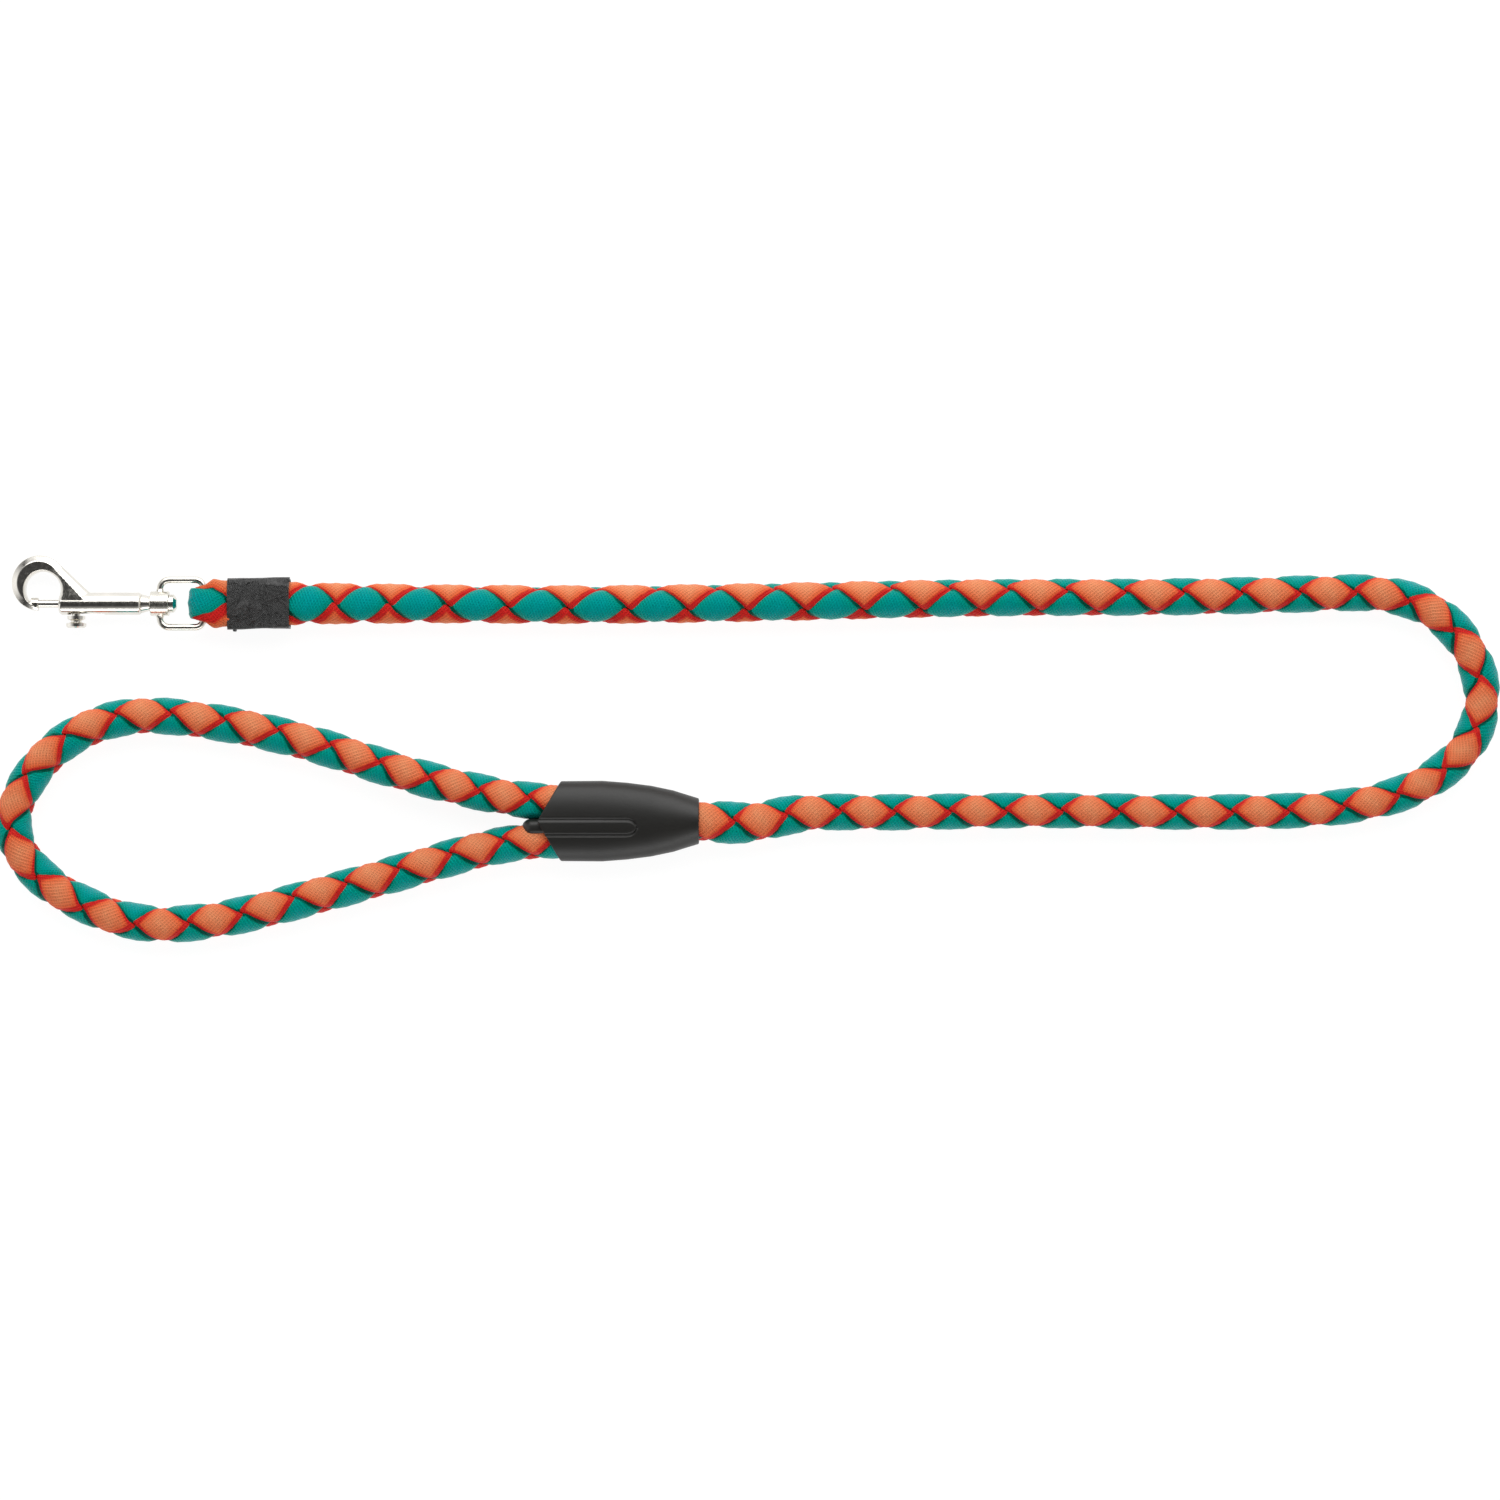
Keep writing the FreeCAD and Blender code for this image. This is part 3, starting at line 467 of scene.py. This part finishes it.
# The edge colours are painted shade and the crown colours painted highlights; body is each tape's own colour.
orange = tape_material(
    "orange_tape", edge=(0.62, 0.006, 0.008), shade_end=0.31, body=(0.80, 0.12, 0.035),
    crown=(0.79, 0.26, 0.115), glint=(1.0, 0.75, 0.5), gloss=0.55, shine=0.3)
teal = tape_material(
    "teal_tape", edge=(0.0, 0.07, 0.035), shade_end=0.14, body=(0.0, 0.29, 0.21), crown=(0.0, 0.32, 0.31),
    glint=(0.0, 0.7, 1.0), gloss=0.30, shine=0.28)
nickel = nickel_material("nickel_plate", (0.84, 0.81, 0.75), 0.15)
worn_nickel = nickel_material("worn_nickel_plate", (0.80, 0.77, 0.70), 0.20)
wire_steel = nickel_material("spring_wire", (0.56, 0.56, 0.55), 0.25)
filler = yarn_material("filler_yarn", (0.06, 0.10, 0.09))
thread_black = yarn_material("sewing_thread", (0.03, 0.03, 0.03))
woven = band_material()
plastic = sleeve_material()

# ---------------------------------------------------------------- ropes


def constant(value):
    """The same value at every distance."""
    return lambda s: np.full(np.shape(s), value)


def ramped(stops):
    """A value that runs straight between (distance, value) stops."""
    return lambda s: np.interp(s, [stop[0] for stop in stops], [stop[1] for stop in stops])


def mirrored(stops, length):
    """A value that runs through the stops up to a line's middle, and back through them after it."""
    return ramped(stops + [(length - distance, value) for distance, value in reversed(stops)])


lead_line = Line(spline_points("lead_route", LEAD_ROUTE))
lead_tall = ramped([(0.0, 0.0046), (0.004, 0.0050), (0.03, 0.0058), (0.06, 0.0060)])
lead_wide = ramped([(0.0, 0.0072), (0.006, 0.0072), (0.015, 0.0068), (0.05, 0.0064), (0.18, 0.00635),
                    (0.26, 0.00615), (0.42, 0.0061), (0.47, 0.0059), (0.58, 0.0059), (0.64, 0.0061),
                    (0.672, 0.0070)])
lead_turn = ramped([(0.0, 1.57), (0.02, 1.55), (0.11, 1.25), (0.19, 0.9), (0.22, 0.72), (0.35, 0.05),
                    (0.37, -0.12), (0.43, -0.15), (0.46, -0.06), (0.58, 0.0), (0.62, -0.1), (0.67, -0.17)])
lead_count = ramped([(0.0, 0.02), (0.0349, 2), (0.0537, 3), (0.1315, 7), (0.264, 14), (0.3397, 18),
                     (0.3481, 18.5), (0.4014, 21.5), (0.4531, 24.5), (0.5075, 27.5), (0.5628, 30.5),
                     (0.6172, 33.5), (0.6697, 36.5), (0.69, 37.6)])
lead = braid("lead_braid", lead_line, [orange, teal], lead_tall, lead_wide, lead_turn, lead_count)
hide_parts("lead_rope")
lead_filler = yarn("lead_filler", lead_line, FILLER_RADIUS, filler, lead_tall, lead_wide)
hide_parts("lead_core")

hand_line = Line(spline_points("hand_route", HAND_ROUTE))
round_half = constant(ROPE_RADIUS)
hand_wide = constant(0.0061)
hand_turn = ramped([(0.019, -0.24), (0.035, -0.15), (0.052, -0.21), (0.1, -0.42), (0.139, -0.3),
                    (0.173, -0.4), (0.191, -0.33), (0.21, -0.15), (0.26, -0.2), (0.28, 0.1), (0.297, 0.18),
                    (0.315, 0.42), (0.36, 0.34), (0.385, 0.43)])
hand_count = ramped([(0.0, 0.36), (0.0188, 1.5), (0.0353, 2.5), (0.0861, 5.5), (0.1387, 8.5), (0.1913, 11.5),
                     (0.227, 13.5), (0.2971, 17.5), (0.3855, 22.5), (0.412, 24)])
hand = braid("hand_braid", hand_line, [orange, teal], round_half, hand_wide, hand_turn, hand_count)
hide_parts("hand_loop")
hand_filler = yarn("hand_filler", hand_line, FILLER_RADIUS, filler, round_half, round_half)
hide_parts("hand_loop_core")

# The sewn join inside the sleeve: the lead's end spread to two ropes side by side.
join_low, join_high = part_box("rope_join")
join_y, join_z = (join_low.y + join_high.y) / 2, (join_low.z + join_high.z) / 2
join_reach = np.linspace(0, join_high.x - join_low.x, 40)
join_line = Line(np.array([(join_high.x - reach, join_y, join_z) for reach in join_reach]))
join_wide = ramped([(0.0, 0.006), (0.018, 0.0115), (0.03, 0.0118)])
join_count = ramped([(0.0, 0.0), (0.036, 2.0)])
join = braid("join_braid", join_line, [orange, teal], constant(0.0058), join_wide, constant(0.0), join_count)
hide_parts("rope_join")

# The rope eye: the flattened rope folded back round the loop's back bar.
EYE = Vector((-0.177, 0.0475, 0.00585))  # middle of the back bar
FOLD_RADIUS = 0.0032
EYE_END = 0.0265  # from the back bar to the eye's end under the band
EYE_SHOULDER = 0.0165  # distance from either end of the eye's line at which it starts to widen
upper = [(EYE.x + x, EYE.y, EYE.z + h) for x, h in (
    (EYE_END, 0.0026), (0.016, 0.0026), (0.009, 0.0027), (0.004, 0.0030))]
bend = [(EYE.x - FOLD_RADIUS * math.sin(a), EYE.y, EYE.z + FOLD_RADIUS * math.cos(a))
        for a in np.linspace(0.15, math.pi - 0.15, 9)]
lower = [(x, y, 2 * EYE.z - z) for x, y, z in reversed(upper)]
eye_line = Line(spline_points("eye_route", upper + bend + lower), side=(0.0, -1.0, 0.0))
eye_middle = eye_line.length / 2
eye_wide = mirrored([(0.0, 0.0071), (EYE_SHOULDER, 0.0074), (eye_middle - 0.0085, 0.0081),
                     (eye_middle - 0.0055, 0.0062)], eye_line.length)
eye_tall = mirrored([(0.0, 0.0022), (EYE_SHOULDER, 0.0023), (eye_middle - 0.010, 0.0025),
                     (eye_middle - 0.004, 0.0019)], eye_line.length)
eye_count = ramped([(0.0, 0.05), (EYE_SHOULDER, 1.0), (eye_middle, 1.5),
                    (eye_line.length - EYE_SHOULDER, 2.0), (eye_line.length, 2.95)])
eye = braid("eye_braid", eye_line, [orange, teal], eye_tall, eye_wide, constant(math.pi / 2), eye_count)
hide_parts("rope_eye")

# ---------------------------------------------------------------- band


def woven_band():
    """Black tape wrapped round the eye, with soft corners, cross creases and turned-in ends."""
    low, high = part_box("label_band")
    middle_y, middle_z = (low.y + high.y) / 2, (low.z + high.z) / 2
    slack, wall, turned_in = 0.0002, 0.0006, 0.004
    crease_depth, waist, bluntness = 0.0002, 0.000075, 0.62
    half_y, half_z = (high.y - low.y) / 2 - slack, (high.z - low.z) / 2 - slack
    around, rings = 160, 120
    angle = np.linspace(0, 2 * math.pi, around, endpoint=False)
    rng = np.random.default_rng(3)
    creases = [(rng.uniform(0, 2 * math.pi), rng.uniform(-250, 250), rng.uniform(2, 7), rng.uniform(0.4, 1.0))
               for _ in range(7)]
    points = []
    # Each ring has a place along the band and a push outward, negative inside the tape.
    inside = np.linspace(turned_in, 0.0, 8)
    lip = np.linspace(0.0, 1.0, 5)[1:-1]
    profile = [(low.x + x, -wall) for x in inside]
    profile += [(low.x, -wall + wall * share) for share in lip]
    profile += [(x, 0.0) for x in np.linspace(low.x, high.x, rings)]
    profile += [(high.x, -wall * share) for share in lip]
    profile += [(high.x - x, -wall) for x in reversed(inside)]
    for x, inward in profile:
        share = (x - low.x) / (high.x - low.x)
        ripple = sum(size * np.sin(turns * angle + start + slope * (x - low.x))
                     for start, slope, turns, size in creases)
        push = inward - crease_depth * (ripple + 1) - waist * abs(np.cos(2 * math.pi * share))
        y = blunted(np.cos(angle), bluntness) * (half_y + push)
        z = blunted(np.sin(angle), bluntness) * (half_z + push)
        points.append(np.stack([np.full(around, x), middle_y + y, middle_z + z], axis=-1))
    faces = grid_faces(len(profile), around)[:-2]
    band = new_piece("woven_band", np.concatenate(points), faces, [woven])
    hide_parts("label_band")
    return band


def band_tab(band):
    """The tape's folded end, a small tab under the band's rear lower corner."""
    low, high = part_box("label_band")
    half = (0.0006, 0.0009, 0.0022)
    centre = (low.x + 0.0022, low.y + 0.0006, (low.z + high.z) / 2)
    around, rings = 24, 11
    turns = np.linspace(0, 2 * math.pi, around, endpoint=False)
    points = []
    for tilt in np.linspace(0, math.pi, rings + 2)[1:-1]:
        waves = (np.sin(tilt) * np.cos(turns), np.sin(tilt) * np.sin(turns), np.full(around, np.cos(tilt)))
        points.append(np.stack([centre[k] + half[k] * blunted(waves[k], 0.5) for k in range(3)], axis=-1))
    tab = new_piece("band_tab", np.concatenate(points), grid_faces(rings, around), [woven])
    tab.parent = band


band_tab(woven_band())

# ---------------------------------------------------------------- sleeve


def moulded_sleeve():
    """Satin sleeve with slanted mouths and a tongue outlined by a fine groove."""
    axis_y, axis_z = SLEEVE_AXIS
    half_z = axis_z
    tip, end, slant = -0.0682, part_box("sleeve")[1].x, math.tan(math.radians(30))
    # Shares of the sleeve's length with its half widths.
    stations = [(0.0, 0.0130), (0.30, 0.0131), (0.48, 0.0125), (0.66, 0.0115), (0.82, 0.0100), (1.0, 0.0074)]
    tongue_y, tongue_half, tongue_nose, tongue_end = -0.0020, 0.0025, -0.0395, -0.0360
    groove_half, groove_depth = 0.00042, 0.0006
    wall = 0.0012
    around, rings = 512, 260
    angle = np.linspace(0, 2 * math.pi, around, endpoint=False)
    cos, sin = np.cos(angle), np.sin(angle)
    # Each ring has a share of the length, a shift along it and a push outward, negative in the mouths.
    inside = np.linspace(0.010, 0.0004, 6)
    profile = [(0.0, x, -wall) for x in inside]
    profile += [(0.0, 0.0001, -0.75 * wall), (0.0, 0.0, -0.4 * wall), (0.0, 0.0001, -0.1 * wall)]
    profile += [(t, 0.0, 0.0) for t in np.linspace(0.006, 0.994, rings)]
    profile += [(1.0, -0.0001, -0.1 * wall), (1.0, 0.0, -0.4 * wall), (1.0, -0.0001, -0.75 * wall)]
    profile += [(1.0, -x, -wall) for x in reversed(inside)]
    points = []
    for t, shift, inward in profile:
        half_y = np.interp(t, [s[0] for s in stations], [s[1] for s in stations])
        blunt = np.interp(t, [0.0, 0.6, 1.0], [2.6, 2.35, 2.0])
        y = blunted(cos, 2 / blunt) * (half_y + inward)
        z = blunted(sin, 2 / blunt) * (half_z + inward)
        start = tip + np.abs(y) * slant
        x = start + t * (end - start) + shift
        if inward == 0.0:
            along = np.clip((x - tongue_nose) / (tongue_end - tongue_nose), 0.0, 1.5)
            edge = np.abs(y - tongue_y) - tongue_half * np.sqrt(np.maximum(1 - along ** 2, 0.0))
            groove = groove_depth * np.exp(-(edge / groove_half) ** 2)
            z = z - np.where((z > 0) & (x < tongue_end + groove_half), groove, 0.0)
        points.append(np.stack([x, axis_y + y, axis_z + z], axis=-1))
    faces = grid_faces(len(profile), around)[:-2]
    shell = new_piece("moulded_sleeve", np.concatenate(points), faces, [plastic])
    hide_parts("sleeve")
    return shell


def sleeve_nub(shell):
    """The blunt end that stands out of the sleeve in the fork between its two ropes."""
    start, length, bluntness = -0.0733, 0.0085, 0.7
    axis_y, half_y, half_z = -0.0252, 0.0029, 0.0058
    around, rings = 48, 40
    angle = np.linspace(0, 2 * math.pi, around, endpoint=False)
    points = []
    for share in np.linspace(0.02, 1.0, rings):
        swell = math.sqrt(1 - (1 - min(share / 0.4, 1.0)) ** 2)
        x = np.full(around, start + share * length)
        y = axis_y + blunted(np.cos(angle), bluntness) * half_y * swell
        z = SLEEVE_AXIS[1] + blunted(np.sin(angle), bluntness) * half_z * swell
        points.append(np.stack([x, y, z], axis=-1))
    nub = new_piece("sleeve_nub", np.concatenate(points), grid_faces(rings, around), [plastic])
    nub.parent = shell


sleeve_nub(moulded_sleeve())

# ---------------------------------------------------------------- metal and sewing

recast("snap_casting", "hook_body", 6, nickel, "snap")
recast("swivel_ring", "swivel_loop", 5, worn_nickel, "loop")
for name, material in (("plunger", nickel), ("thumb_stud", nickel), ("swivel_rivet", nickel),
                       ("eye_stitching", thread_black), ("join_stitching", thread_black)):
    nodes[name].data.materials.clear()
    nodes[name].data.materials.append(material)

# The spring inside the barrel (on the real snap it shortens towards its fixed rear end as the gate is drawn
# back), copied with a mesh of its own.
spring = bpy.data.objects.new("coil_spring", nodes["plunger_spring"].data.copy())
bpy.context.scene.collection.objects.link(spring)
spring.data.materials.clear()
spring.data.materials.append(wire_steel)
spring.data.shade_smooth()
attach(spring, "snap")
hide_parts("plunger_spring")
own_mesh(spring)

# ---------------------------------------------------------------- floor, light and world

FLOOR_HALF = 3.0
FLOOR_DROP = 0.0001  # keeps the floor just clear of the rope's underside
floor_mesh = bpy.data.meshes.new("floor")
floor_corners = [(x * FLOOR_HALF, y * FLOOR_HALF, 0) for x, y in ((-1, -1), (1, -1), (1, 1), (-1, 1))]
floor_mesh.from_pydata(floor_corners, [], [(0, 1, 2, 3)])
floor = bpy.data.objects.new("floor", floor_mesh)
floor.location.z = -FLOOR_DROP
bpy.context.scene.collection.objects.link(floor)
floor_paint, _, floor_shader = new_material("pale_floor")
floor_shader.inputs["Base Color"].default_value = (0.15, 0.15, 0.15, 1.0)
floor_shader.inputs["Roughness"].default_value = 0.9
floor_shader.inputs["Emission Color"].default_value = (1.0, 1.0, 1.0, 1.0)
floor_shader.inputs["Emission Strength"].default_value = 0.92
floor_mesh.materials.append(floor_paint)


def softbox(name, place, wide, deep, power):
    """A rectangular area light that looks at the middle of the floor."""
    data = bpy.data.lights.new(name, "AREA")
    data.shape = "RECTANGLE"
    data.size = wide
    data.size_y = deep
    data.energy = power
    light = bpy.data.objects.new(name, data)
    bpy.context.scene.collection.objects.link(light)
    light.location = place
    light.rotation_euler = (-Vector(place)).to_track_quat("-Z", "Y").to_euler()


softbox("key", (0.0, 1.15, 1.05), 2.6, 1.4, 24.0)
softbox("fill", (0.0, -1.2, 0.55), 1.6, 0.35, 5.0)

world = bpy.data.worlds.new("studio")
bpy.context.scene.world = world
world.use_nodes = True
sky = world.node_tree
backdrop = sky.nodes["Background"]
direction = node(sky, "ShaderNodeTexCoord")
axes = node(sky, "ShaderNodeSeparateXYZ")
sky.links.new(direction.outputs["Generated"], axes.inputs[0])
# Pale walls ahead and behind, a duller one on the right, a pale strip on the left between dark corners, and a
# dark ceiling.
ahead = maths(sky, "MULTIPLY", axes.outputs["Y"], axes.outputs["Y"])
left = maths(sky, "MINIMUM", axes.outputs["X"], 0.0)
right = maths(sky, "MAXIMUM", axes.outputs["X"], 0.0)
walls = maths(sky, "ABSOLUTE", maths(sky, "SUBTRACT", ahead, maths(sky, "MULTIPLY", left, left)))
walls = maths(sky, "ADD", walls, maths(sky, "MULTIPLY", maths(sky, "MULTIPLY", right, right), 0.5))
walls = maths(sky, "ADD", walls, maths(sky, "MULTIPLY", axes.outputs["Y"], 0.15))
light_walls = ramp(sky, walls, [(0.0, (0.035,) * 3), (0.09, (0.05,) * 3), (0.17, (0.13,) * 3),
                                (0.55, (0.52,) * 3), (1.0, (1.0,) * 3)])
sky.links.new(light_walls, backdrop.inputs["Color"])
backdrop.inputs["Strength"].default_value = 1.2
bpy.context.scene.view_settings.view_transform = "Standard"
